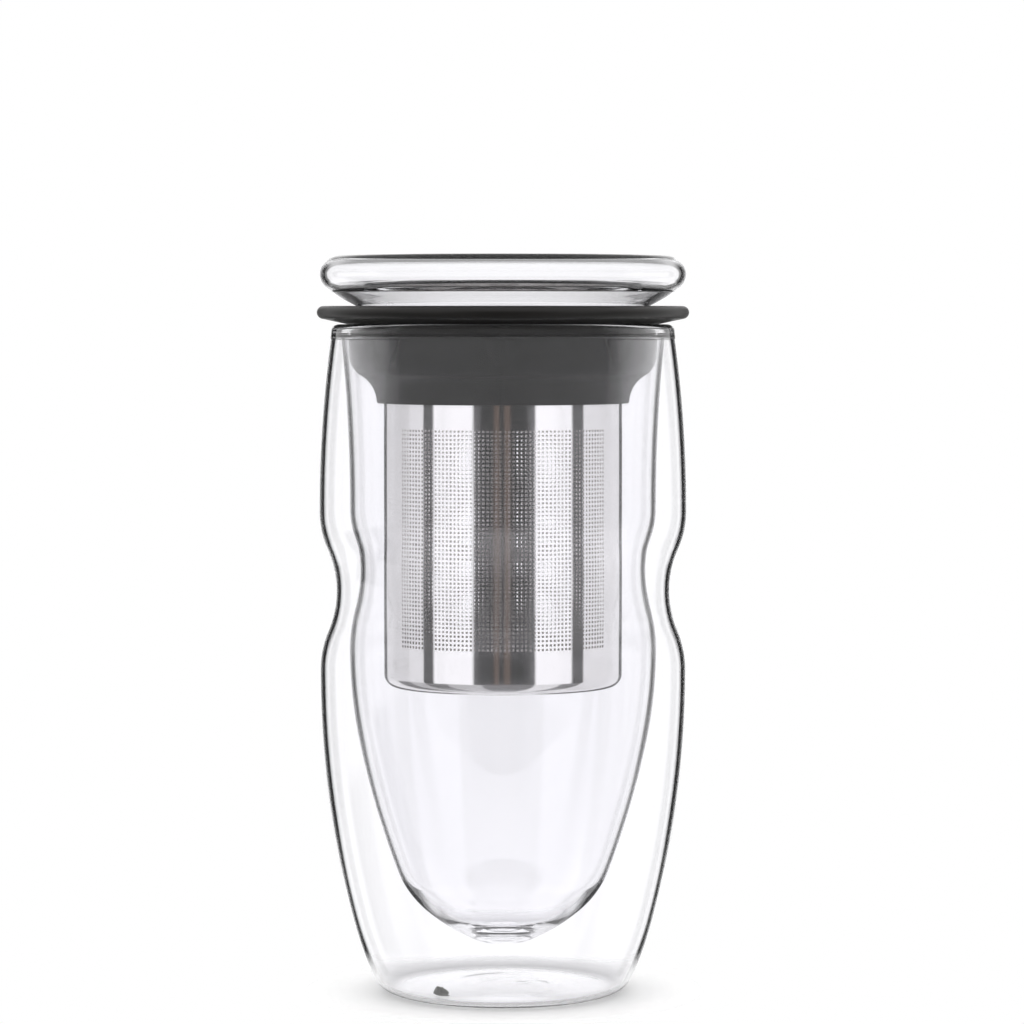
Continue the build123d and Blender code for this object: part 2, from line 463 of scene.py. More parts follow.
@dataclass(frozen=True)
class PolishedSteel(Finish):
    """Mirror-polished sheet with hair-fine lines round it and the slow waves of rolled metal."""

    name: str = "mirror_steel_sheet"
    bright: Triple = (0.92, 0.91, 0.905)
    smoky: Triple = (0.84, 0.83, 0.825)
    hair_stretch: Triple = (60.0, 60.0, 5200.0)
    hair_dullness: Point = (0.03, 0.10)
    stain_scale: float = 45.0
    swell_scale: float = 70.0
    swell_strength: float = 0.25
    swell_depth: float = 0.0001

    def coat(self, tree: Tree) -> dict[str, Feed]:
        """Bright metal with its stains, hair lines and rolled swell.

        Args:
            tree: The finish's node tree.

        Returns:
            What feeds each of the shader's sockets.
        """
        hair = tree.noise(1.0, 3.0, stretch=self.hair_stretch)
        stain = tree.noise(self.stain_scale, 4.0)
        swell = tree.noise(self.swell_scale, 1.0)
        return {
            "Metallic": 1.0,
            "Base Color": tree.blend(stain, self.bright, self.smoky),
            "Roughness": tree.spread(hair, to=self.hair_dullness),
            "Normal": tree.bump(swell, self.swell_strength, self.swell_depth),
        }


@dataclass(frozen=True)
class PlugSilicone(Finish):
    """Grey silicone of the small vent plug, a little cloudy."""

    name: str = "grey_plug_silicone"
    pale: Triple = (0.34, 0.34, 0.31)
    dark: Triple = (0.05, 0.05, 0.045)
    cloud_scale: float = 700.0
    cloud_strength: float = 0.5
    cloud_depth: float = 0.00015
    dullness: float = 0.4

    def coat(self, tree: Tree) -> dict[str, Feed]:
        """Grey in clouds that also stand up a little.

        Args:
            tree: The finish's node tree.

        Returns:
            What feeds each of the shader's sockets.
        """
        cloud = tree.noise(self.cloud_scale, 3.0)
        return {
            "Base Color": tree.blend(cloud, self.dark, self.pale),
            "Roughness": self.dullness,
            "Normal": tree.bump(cloud, self.cloud_strength, self.cloud_depth),
        }


@dataclass(frozen=True)
class PaleFloor(Finish):
    """Pale matt floor that fades out at its edge, with painted light under the tumbler: a glow that
    lifts the shadow of the glass there.

    Its radii are in metres.
    """

    name: str = "pale_floor"
    radius: float = 0.054
    fade_from: float = 0.033
    fade_end_share: float = 0.99
    glow: float = 0.08
    # Painted light under the base: emission that lifts the shadow the glass casts there.
    painted_light_under_base: float = 0.68
    painted_light_under_base_reach: Point = (0.0225, 0.029)
    tone: Point = (0.90, 0.93)
    grain_scale: float = 12.0
    dullness: float = 0.7
    shine: float = 0.2

    def coat(self, tree: Tree) -> dict[str, Feed]:
        """Pale, with a faint grain, its fade, an even faint glow, and painted light under the
        tumbler.

        Args:
            tree: The finish's node tree.

        Returns:
            What feeds each of the shader's sockets.
        """
        place = tree.add("TexCoord").outputs["Object"]
        reach = tree.add("VectorMath", {0: place}, operation="LENGTH").outputs["Value"]
        edge = (self.fade_from, self.radius * self.fade_end_share)
        glow = (self.painted_light_under_base, self.glow)
        return {
            "Base Color": tree.spread(tree.noise(self.grain_scale, 3.0), to=self.tone),
            "Roughness": self.dullness,
            "Specular IOR Level": self.shine,
            "Alpha": tree.spread(reach, edge, (1.0, 0.0), smooth=True),
            "Emission Color": (1.0, 1.0, 1.0),
            # Emission: painted light under the tumbler's base that lifts the glass's shadow, easing
            # out to an even faint glow.
            "Emission Strength": tree.spread(reach, self.painted_light_under_base_reach, glow, smooth=True),
        }


def dress(piece: Object, material: Material, slot: Slot, body: Body, *nodes: str) -> None:
    """Give a piece its finish, its place in the frame and the CAD nodes that it stands for.

    Args:
        piece: The piece.
        material: Its finish.
        slot: The record's slot for that finish; not used.
        body: What it moves with.
        nodes: The CAD nodes that it replaces.
    """
    piece.data.materials.clear()
    piece.data.materials.append(material)
    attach(piece, body.value)
    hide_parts(*nodes)
    log.info("%s rides on %s and stands for %s", piece.name, body.value, ", ".join(nodes))


# ---- tumbler


@dataclass
class Tumbler:
    """The double-wall glass, blown in two walls that are fused at the rim, and its vent plug.

    Heights and radii are in millimetres. A station is a (radius, height) pair on a wall's outside.
    """

    outer_wall: float = 1.2
    weld_height: float = 152.6
    rim: Point = (40.25, 152.6)
    barrel: Point = (43.0, 112.5)
    waist: Point = (39.05, 94.0)
    hip: Point = (42.85, 75.5)
    heel: Point = (35.2, 17.0)
    foot: Point = (30.0, 3.0)
    foot_ring_width: float = 1.2
    punt_rise: float = 1.8
    cup_wall: float = 1.3
    cup_mouth: Point = (37.6, 152.6)
    cup_barrel: Point = (35.75, 113.0)
    cup_waist: Point = (33.3, 99.0)
    cup_hip: Point = (35.85, 80.0)
    bowl_side: Point = (33.6, 58.5)
    bowl_turn: Point = (25.0, 29.0)
    bowl_heel: Point = (17.9, 19.0)
    cup_bottom: float = 11.8
    bottom_flat: float = 5.8
    cup_floor: float = 14.2
    bowl_bottom_from: float = 26.0
    top: float = 156.0
    bead_height: float = 1.6
    bead_inset: float = 0.2
    bead_fullness: float = 0.9
    arch_rise: float = 0.9
    ripple_height: float = 0.034
    ripple_pitch: float = 8.6
    ripple_reach: float = 27.5
    ripple_middle: Point = (4.5, -5.0)
    ripple_fade_share: float = 0.6
    ripple_oval: float = 1.12
    ripple_wander: float = 1.7
    ripple_gust: Point = (0.45, 0.55)
    plug_place: Point = (-13.5, -16.09)
    plug_lean: Point = (-0.6, -0.4)
    plug_stem_radius: float = 1.45
    plug_head_radius: float = 1.8
    plug_heights: Triple = (0.35, 2.0, 3.3)
    plug_chips: Point = (0.13, 0.06)
    plug_slant: Triple = (0.3, -0.12, 0.14)
    segments: int = 224
    glass: BlownGlass = field(default_factory=BlownGlass)
    plug: PlugSilicone = field(default_factory=PlugSilicone)

    def outer_outline(self) -> Outline:
        """The outside of the outer wall.

        Returns:
            The outline from the weld down to the middle of the punt.
        """
        line = Outline()
        line.arc_into(self.rim, self.barrel, (0, -1))
        line.swell(self.barrel, self.waist)
        line.swell(self.waist, self.hip)
        way = line.arc(self.hip, (0, -1), self.heel)
        way = line.arc(self.heel, way, self.foot)
        foot_bend = self.foot[1] / (1 + way[0])
        ring_outside = self.foot[0] + foot_bend * way[1]
        line.arc(self.foot, way, (ring_outside, 0), turn=8)
        ring_inside = ring_outside - self.foot_ring_width
        line.line((ring_outside, 0), (ring_inside, 0))
        line.arc_into((ring_inside, 0), (0, self.punt_rise), (-1, 0), turn=0.14)
        return line

    def cup_outline(self) -> Outline:
        """The outside of the inner cup.

        Returns:
            The outline from the mouth down to the middle of its bottom.
        """
        line = Outline()
        line.arc_into(self.cup_mouth, self.cup_barrel, (0, -1))
        line.swell(self.cup_barrel, self.cup_waist)
        line.swell(self.cup_waist, self.cup_hip)
        way = line.arc(self.cup_hip, (0, -1), self.bowl_side)
        way = line.arc(self.bowl_side, way, self.bowl_turn)
        way = line.arc(self.bowl_turn, way, self.bowl_heel)
        line.arc(self.bowl_heel, way, (self.bottom_flat, self.cup_bottom), turn=1.5)
        line.line((self.bottom_flat, self.cup_bottom), (0, self.cup_bottom), 4)
        return line

    def bead(self) -> list[Point]:
        """The rounded rim over the weld.

        Returns:
            Its points from the outer wall across to the bore of the mouth.
        """
        bore = self.cup_mouth[0] - self.cup_wall
        shoulder = self.top - self.bead_height
        outside = self.rim[0] - self.bead_inset
        middle, half = (outside + bore) / 2, (outside - bore) / 2
        crown = []
        for angle in (math.pi * i / 24 for i in range(25)):
            rise = (self.top - shoulder) * math.sin(angle) ** self.bead_fullness
            crown.append((middle + half * math.cos(angle), shoulder + rise))
        return [self.rim, *crown]

    def arch(self) -> list[Point]:
        """The top of the sealed gap.

        Returns:
            Its points from the cup's outside over to the outer wall's inside.
        """
        low, high = self.cup_mouth[0], self.rim[0] - self.outer_wall
        middle, half = (low + high) / 2, (high - low) / 2
        return [
            (middle - half * math.cos(a), self.weld_height + self.arch_rise * math.sin(a))
            for a in (math.pi * i / 12 for i in range(13))
        ]

    def build_outer(self) -> Object:
        """Build the outer wall, open at the weld where the bead goes on.

        Returns:
            The wall.
        """
        outside = self.outer_outline()
        inside = outside.beside(self.outer_wall)
        mesh = bmesh.new()
        spin(mesh, outside.points, self.segments)
        outside_count = len(mesh.verts)
        spin(mesh, list(reversed(inside)), self.segments)
        mesh.verts.ensure_lookup_table()
        for vert in mesh.verts[outside_count:]:
            if vert.co.z < self.punt_rise + 2 * self.outer_wall:
                vert.co.z += self.ripple(vert.co.x, vert.co.y)
        return finish_mesh(mesh, "outer_glass_wall")

    def ripple(self, x: float, y: float) -> float:
        """The height of the swirls that the glassblower's turning leaves in the base.

        Args:
            x: Place across, in millimetres.
            y: Place in depth, in millimetres.

        Returns:
            Height over the smooth base.
        """
        reach = math.hypot(x, y)
        fade = ease(reach, self.ripple_reach, self.ripple_reach * self.ripple_fade_share)
        across, ahead = x - self.ripple_middle[0], y - self.ripple_middle[1]
        turn = math.atan2(ahead, across)
        swirl = math.hypot(across, ahead * self.ripple_oval)
        wander = self.ripple_wander * math.sin(turn + 0.6)
        wave = math.sin(2 * math.pi * swirl / self.ripple_pitch + wander)
        steady, swing = self.ripple_gust
        gust = steady + swing * math.sin(turn * 2 + 0.5 + 0.22 * swirl)
        return self.ripple_height * fade * wave * gust

    def build_inner(self) -> Object:
        """Build the drinking cup with the bead that joins it to the outer wall.

        Returns:
            The cup.
        """
        outside = self.cup_outline()
        bore = [p for p in outside.beside(self.cup_wall) if p[1] > self.bowl_bottom_from]
        pool = Outline()
        pool.arc_into(bore[-1], (0, self.cup_floor), (-1, 0), turn=1.5)
        mesh = bmesh.new()
        spin(mesh, list(reversed(self.bead() + bore + pool.points[1:])), self.segments)
        spin(mesh, self.arch()[::-1] + outside.points[1:], self.segments)
        return finish_mesh(mesh, "inner_glass_cup")

    def build_plug(self) -> Object:
        """Build the stopper in the vent: a straight stem, and a head cut off rough and aslant.

        Returns:
            The plug.
        """
        low, seat, top = self.plug_heights
        stem, head = self.plug_stem_radius, self.plug_head_radius
        section = [
            (stem - 0.15, low), (stem, low + 0.15), (stem, seat), (head - 0.1, seat + 0.02),
            (head, seat + 0.14), (head * 0.94, seat + 0.5), (head * 0.72, top - 0.25),
            (head * 0.55, top), (head * 0.25, top + 0.05), (0.0, top),
        ]
        mesh = bmesh.new()
        spin(mesh, [(0.0, low), *section][::-1], 40)
        wide, fine = self.plug_chips
        across, ahead, notch = self.plug_slant
        for vert in mesh.verts:
            rise = ease(vert.co.z, seat, top)
            turn = math.atan2(vert.co.y, vert.co.x)
            chip = 1 + rise * (wide * math.cos(3 * turn + 0.7) + fine * math.sin(5 * turn))
            slant = across * vert.co.x + ahead * vert.co.y + notch * math.sin(4 * turn)
            vert.co.x, vert.co.y, vert.co.z = (
                vert.co.x * chip,
                vert.co.y * chip,
                vert.co.z - slant * rise,
            )
            lean = ease(vert.co.z, low, seat)
            vert.co.x += self.plug_place[0] + lean * self.plug_lean[0]
            vert.co.y += self.plug_place[1] + lean * self.plug_lean[1]
        bmesh.ops.recalc_face_normals(mesh, faces=mesh.faces)
        return finish_mesh(mesh, "vent_plug_moulding", sharp=28)

    def build(self) -> None:
        """Build and dress both walls and the plug."""
        glass = self.glass.material()
        dress(self.build_outer(), glass, Slot.GLASS, Body.TUMBLER, "outer_glass")
        dress(self.build_inner(), glass, Slot.GLASS, Body.TUMBLER, "inner_glass")
        dress(self.build_plug(), self.plug.material(), Slot.PLUG, Body.TUMBLER, "vent_plug")


# ---- infuser


@dataclass
class Basket:
    """The steel basket: a rolled wall with three fields of fine square holes, and a drawn base."""

    radius: float = 27.8
    sheet: float = 0.4
    flange_radius: float = 33.9
    flange_top: float = 154.167
    wall_bottom: float = 75.097
    bottom: float = 71.697
    corner: float = 2.7
    bend: float = 0.9
    columns: int = 182
    front_columns: int = 56
    back_columns: int = 51
    strip_columns: int = 9
    row_pitch: float = 0.955
    rows: int = 53
    field_top: float = 132.2
    hole: float = 0.5
    floor_pitch: float = 0.96
    floor_reach: float = 20.5
    steel: PolishedSteel = field(default_factory=PolishedSteel)

    def holed_columns(self) -> list[bool]:
        """Whether each column of the wall has holes.

        Returns:
            One answer for each column, from the middle of the front round to it again.
        """
        half = [True] * (self.front_columns // 2)
        half += [False] * self.strip_columns + [True] * self.back_columns
        return half + [False] * (self.columns - 2 * len(half)) + half[::-1]

    def ring_heights(self) -> tuple[list[float], set[int]]:
        """The heights at which the wall has a ring of points.

        Returns:
            The heights from the bottom up, and the rings at which a row of holes starts.
        """
        low = self.field_top - self.rows * self.row_pitch
        heights = [self.wall_bottom, *np.linspace(self.wall_bottom, low, 5)[1:-1]]
        row_starts = set()
        for row in range(self.rows):
            start = low + row * self.row_pitch + (self.row_pitch - self.hole) / 2
            row_starts.add(len(heights))
            heights += [start, start + self.hole]
        bend_start = self.flange_top - self.sheet - self.bend
        return [*heights, *np.linspace(self.field_top, bend_start, 9)[1:]], row_starts

    def section(self, heights: list[float]) -> tuple[list[Point], list[Point], list[Point]]:
        """The sheet cut through, from the bottom up and out along the flange.

        Args:
            heights: Where the upright wall has its points.

        Returns:
            The outside, the flange's rounded edge, and the inside.
        """
        outside = [(self.radius, z) for z in heights]
        inside = [(self.radius - self.sheet, z) for z in heights]
        middle = (self.radius + self.bend, heights[-1])
        for angle in (math.pi / 2 * i / 6 for i in range(1, 7)):
            for side, reach in ((outside, self.bend), (inside, self.bend + self.sheet)):
                across, up = reach * math.cos(angle), reach * math.sin(angle)
                side.append((middle[0] - across, middle[1] + up))
        half = self.sheet / 2
        lip, edge_height = self.flange_radius - half, self.flange_top - half
        outside.append((lip, self.flange_top - self.sheet))
        inside.append((lip, self.flange_top))
        edge = [
            (lip + half * math.sin(a), edge_height - half * math.cos(a))
            for a in (math.pi * i / 6 for i in range(1, 6))
        ]
        return outside, edge, inside

    def build_wall(self) -> Object:
        """Build the rolled wall with its holes and its flange.

        Returns:
            The wall.
        """
        step, hole_turn = 2 * math.pi / self.columns, self.hole / self.radius
        turns = [
            -math.pi / 2 + (column + 0.5) * step + side * hole_turn / 2
            for column in range(self.columns)
            for side in (-1, 1)
        ]
        heights, row_starts = self.ring_heights()
        outside, edge, inside = self.section(heights)
        mesh = bmesh.new()
        rings = [add_ring(mesh, point, turns) for point in outside + edge + inside[::-1]]
        holed = self.holed_columns()
        last = len(rings) - 1
        for ring in range(last + 1):
            after = (ring + 1) % (last + 1)
            on_outside = ring < len(outside) - 1
            row = ring if on_outside else last - after
            for i, j in around(len(turns)):
                cell = [rings[ring][i], rings[ring][j], rings[after][j], rings[after][i]]
                if i % 2 or not holed[i // 2] or row not in row_starts:
                    mesh.faces.new(cell)
                elif on_outside:
                    back, back_after = rings[last - ring], rings[last - after]
                    far = [back[i], back[j], back_after[j], back_after[i]]
                    for k, m in around(4):
                        mesh.faces.new((cell[k], cell[m], far[m], far[k]))
        return finish_mesh(mesh, "basket_wall_sheet")

    def add_floor(self, mesh: Mesh) -> None:
        """Add the floor's field of fine holes, with the sides of the holes.

        Args:
            mesh: The mesh that gets it.
        """
        reach, half = int(self.floor_reach / self.floor_pitch), self.hole / 2
        levels = (self.bottom, self.bottom + self.sheet)
        grid = {}

        def corner(*key: int) -> Vert:
            """The vertex where two grid lines cross, two of them to a hole, at level 0 or 1."""
            x, y = (i // 2 * self.floor_pitch + (half if i % 2 else -half) for i in key[:2])
            return grid.get(key) or grid.setdefault(key, mesh.verts.new((x, y, levels[key[2]])))

        lines = range(-2 * reach - 2, 2 * reach + 2)
        for ix, iy in ((ix, iy) for ix in lines for iy in lines):
            if math.hypot(ix // 2 + (ix % 2) / 2, iy // 2 + (iy % 2) / 2) > reach:
                continue
            square = [(ix, iy), (ix + 1, iy), (ix + 1, iy + 1), (ix, iy + 1)]
            if ix % 2 == 0 and iy % 2 == 0:
                for p, q in zip(square, square[1:] + square[:1]):
                    mesh.faces.new((corner(*p, 1), corner(*q, 1), corner(*q, 0), corner(*p, 0)))
            else:
                mesh.faces.new([corner(*p, 1) for p in square])
                mesh.faces.new([corner(*p, 0) for p in reversed(square)])

    def build_base(self) -> Object:
        """Build the drawn base with its rounded corner and its floor of fine holes.

        Returns:
            The base.
        """
        mesh = bmesh.new()
        self.add_floor(mesh)
        turns = [2 * math.pi * i / self.columns for i in range(self.columns)]
        line = Outline()
        skirt_end = (self.radius, self.bottom + self.corner)
        line.line((self.radius, self.wall_bottom), skirt_end, 2)
        line.arc(skirt_end, (0, -1), (self.radius - self.corner, self.bottom), turn=9)
        loop = line.points[::-1] + line.beside(self.sheet)
        rings = [add_ring(mesh, point, turns) for point in loop]
        for here, there in zip(rings, rings[1:]):
            add_band(mesh, here, there)
        for ring, up in ((rings[0], -1), (rings[-1], 1)):
            level = ring[0].co.z
            border = [
                edge
                for edge in mesh.edges
                if edge.is_boundary and all(abs(vert.co.z - level) < TINY for vert in edge.verts)
            ]
            bmesh.ops.triangle_fill(mesh, edges=border, use_beauty=True, normal=(0, 0, up))
        bmesh.ops.recalc_face_normals(mesh, faces=mesh.faces)
        return finish_mesh(mesh, "basket_base_sheet")

    def build(self) -> None:
        """Build and dress the wall and the base."""
        steel = self.steel.material()
        dress(self.build_wall(), steel, Slot.STEEL, Body.INFUSER, "basket_wall")
        dress(self.build_base(), steel, Slot.STEEL, Body.INFUSER, "basket_base")


@dataclass
class Collar:
    """The moulded collar that carries the basket, with eight puffed lobes between flutes.

    Depths are measured down from the top of the flange.
    """

    top: float = 160.197
    flange_radius: float = 43.3
    flange_thickness: float = 3.0
    flange_tilt: float = 0.05
    root_depth: float = 4.4
    root_step: Point = (0.25, 0.1)
    neck_radius: float = 35.6
    neck_depth: float = 5.6
    neck_groove: float = 0.55
    neck_groove_blend: Point = (0.1, 0.35)
    bulb: Point = (36.0, 10.5)
    kink: Point = (33.6, 15.8)
    foot: Point = (29.4, 22.5)
    foot_rounding: float = 0.35
    bore_radius: float = 27.85
    ledge_height: float = 153.767
    funnel_radius: float = 34.2
    funnel_rounding: float = 0.4
    lobes: int = 8
    shoulder_rise: float = 2.3
    shoulder_arch: float = 1.5
    flute_depth: float = 2.5
    flute_top: Point = (6.4, 7.8)
    flute_bottom: float = 15.4
    flute_half_width: float = 4.9
    flute_sharpness: float = 1.3
    shoulder_share: float = 0.22
    lobe_hollow: float = 0.22
    lobe_hollow_from: float = 0.35
    seam_width: float = 0.2
    seam_height: float = 0.13
    row_step: float = 0.28
    steps: int = 640
    silicone: BlackSilicone = field(default_factory=BlackSilicone)

    def lobe_radius(self, depth: float) -> float:
        """The radius at the middle of a lobe.

        Args:
            depth: Depth under the flange's top, between the neck and the foot.

        Returns:
            The radius in millimetres.
        """
        if depth <= self.kink[1]:
            end = (self.neck_radius, self.neck_depth) if depth < self.bulb[1] else self.kink
            drop, run = self.bulb[0] - end[0], end[1] - self.bulb[1]
            bend = (drop**2 + run**2) / (2 * drop)
            return self.bulb[0] - bend + math.sqrt(bend**2 - (depth - self.bulb[1]) ** 2)
        drop, run = self.kink[0] - self.foot[0], self.foot[1] - self.kink[1]
        bend = (drop**2 + run**2) / (2 * drop)
        return self.foot[0] + bend - math.sqrt(max(0.0, bend**2 - (self.foot[1] - depth) ** 2))

    def outline(self) -> list[Point]:
        """The closed section at the middle of a lobe.

        Returns:
            Its points from the foot of the bore round by the outside.
        """
        line = Outline()
        low = self.top - self.foot[1]
        turn_in = self.foot[0] - self.foot_rounding
        line.line((self.bore_radius, low), (turn_in, low), 2)
        line.arc((turn_in, low), (1, 0), (self.foot[0], low + self.foot_rounding), turn=30)
        depths = np.arange(self.foot[1] - self.foot_rounding, self.neck_depth, -self.row_step)
        for depth in (*depths, self.neck_depth):
            line.put((self.lobe_radius(depth), self.top - depth), (0, 1))
        root = (self.neck_radius, self.top - self.root_depth)
        line.line((self.neck_radius, self.top - self.neck_depth), root, 5)
        end = self.flange_radius - self.flange_thickness / 2
        under = self.top - self.flange_thickness
        line.line((root[0] + self.root_step[0], root[1] + self.root_step[1]), (end, under), 4)
        middle = (self.flange_radius, self.top - self.flange_thickness / 2)
        line.arc((end, under), (1, self.flange_tilt), middle, turn=12)
        line.arc(middle, (0, 1), (end, self.top), turn=12)
        inner = self.funnel_radius + self.funnel_rounding
        line.line((end, self.top), (inner, self.top), 4)
        bore_edge = (self.funnel_radius, self.top - self.funnel_rounding)
        line.arc((inner, self.top), (-1, 0), bore_edge, turn=18)
        ledge_outside = (self.funnel_radius, self.ledge_height)
        ledge_inside = (self.bore_radius, self.ledge_height)
        line.line(bore_edge, ledge_outside, 3)
        line.line(ledge_outside, ledge_inside, 3)
        line.line(ledge_inside, (self.bore_radius, low), 4)
        return line.points[:-1]

    def sink(self, turn: float, depth: float) -> float:
        """How far the surface lies under the middle of a lobe.

        Args:
            turn: The angle from the front flute, in radians.
            depth: Depth under the flange's top.

        Returns:
            The sink in millimetres.
        """
        pitch = 2 * math.pi / self.lobes
        off = abs((turn + pitch / 2) % pitch - pitch / 2) * self.bulb[0]
        share = off / (math.pi * self.bulb[0] / self.lobes)
        above, below = self.neck_groove_blend
        groove = self.neck_groove * ease(depth, self.root_depth - above, self.root_depth + below)
        lobe_top = self.neck_depth + self.shoulder_arch * (1 - share) ** 2
        climb = min(1.0, max(0.0, (depth - lobe_top) / self.shoulder_rise))
        groove *= 1 - math.sqrt(1 - (1 - climb) ** 2) if climb < 1 else 0.0
        fade = ease(depth, self.flute_bottom, self.flute_top[1])
        gate = self.shoulder_share + (1 - self.shoulder_share) * ease(depth, *self.flute_top)
        half_width = self.flute_half_width * (0.5 + 0.5 * fade)
        dip = 0.5 + 0.5 * math.cos(math.pi * min(1.0, off / half_width))
        valley = dip**self.flute_sharpness
        hollow = self.lobe_hollow * ease(share, self.lobe_hollow_from, 1.0)
        hollow *= ease(depth, self.kink[1], self.bulb[1])
        return groove + gate * (self.flute_depth * fade * valley + hollow)

    def seam(self, turn: float, radius: float) -> float:
        """How far the parting line of the mould stands out, at an angle from the front flute."""
        off = min(turn, 2 * math.pi - turn) * radius
        return self.seam_height * math.exp(-((off / self.seam_width) ** 2))

    def build(self) -> None:
        """Build and dress the collar."""
        mesh = bmesh.new()
        rings = []
        for radius, height in self.outline():
            depth = self.top - height
            outside = radius > self.foot[0] - 0.01 and self.foot[1] > depth > self.root_depth - 0.05
            ring = []
            for turn in (2 * math.pi * i / self.steps for i in range(self.steps)):
                here = radius
                if outside:
                    here += self.seam(turn, radius) - self.sink(turn, depth)
                ring += add_ring(mesh, (here, height), [turn - math.pi / 2])
            rings.append(ring)
        for here, there in zip(rings, rings[1:] + rings[:1]):
            add_band(mesh, here, there)
        piece = finish_mesh(mesh, "silicone_collar_moulding", sharp=50)
        dress(piece, self.silicone.material(), Slot.SILICONE, Body.INFUSER, "silicone_collar")


# ---- lid


@dataclass
class Lid:
    """The blown glass cap: shallow dome, full-round edge, conical shoulder and open skirt."""

    radius: float = 42.8
    wall: float = 1.8
    base: float = 163.305
    edge_rise: float = 4.2
    edge_drop: float = 4.3
    dome_lean: float = 3.0
    shoulder_lean: float = 27.0
    neck_radius: float = 33.6
    neck_waist: Point = (32.8, 2.4)
    lip_radius: float = 33.1
    lip_height: float = 154.517
    neck_bend: float = 1.5
    neck_inset: float = 0.02
    segments: int = 224
    glass: BlownGlass = field(default_factory=lambda: BlownGlass(name="clear_lid_glass"))

    def outline(self) -> Outline:
        """The outside of the cap.

        Returns:
            The outline from the middle of the dome down to the lip.
        """
        line = Outline()
        edge = (self.radius, self.base + self.edge_drop)
        over = math.radians(90 - self.dome_lean)
        over_bend = self.edge_rise / math.sin(over)
        dome_edge = (self.radius - over_bend * (1 - math.cos(over)), edge[1] + self.edge_rise)
        rise = dome_edge[0] * math.tan(math.radians(self.dome_lean / 2))
        lean = math.radians(self.dome_lean)
        line.arc((0, dome_edge[1] + rise), (1, 0), dome_edge, turn=0.2)
        line.arc(dome_edge, (math.cos(lean), -math.sin(lean)), edge, turn=5)
        under = math.radians(90 - self.shoulder_lean)
        under_bend = self.edge_drop / math.sin(under)
        shoulder_top = (self.radius - under_bend * (1 - math.cos(under)), self.base)
        line.arc(edge, (0, -1), shoulder_top, turn=5)
        slope = math.radians(self.shoulder_lean)
        neck_height = self.base - math.tan(slope) * (shoulder_top[0] - self.neck_radius)
        down = (-math.cos(slope), -math.sin(slope))
        cut = self.neck_bend * math.tan(under / 2)
        start = (self.neck_radius - down[0] * cut, neck_height - down[1] * cut)
        line.line(shoulder_top, start, 2)
        waist = (self.neck_waist[0], self.lip_height + self.neck_waist[1])
        neck = (self.neck_radius - self.neck_inset, neck_height - cut)
        line.arc(start, down, neck, turn=8)
        line.arc_into(neck, waist, (0, -1), turn=3)
        line.swell(waist, (self.lip_radius, self.lip_height + self.wall / 2))
        return line

    def build(self) -> None:
        """Build and dress the lid."""
        outside = self.outline()
        inside = outside.beside(self.wall)
        half = self.wall / 2
        middle = (self.lip_radius - half, self.lip_height + half)
        lip = [
            (middle[0] + half * math.cos(a), middle[1] - half * math.sin(a))
            for a in (math.pi * i / 12 for i in range(1, 12))
        ]
        mesh = bmesh.new()
        spin(mesh, outside.points + lip + inside[::-1], self.segments)
        piece = finish_mesh(mesh, "lid_glass_cap")
        dress(piece, self.glass.material(), Slot.GLASS, Body.LID, "lid_glass")


# ---- studio


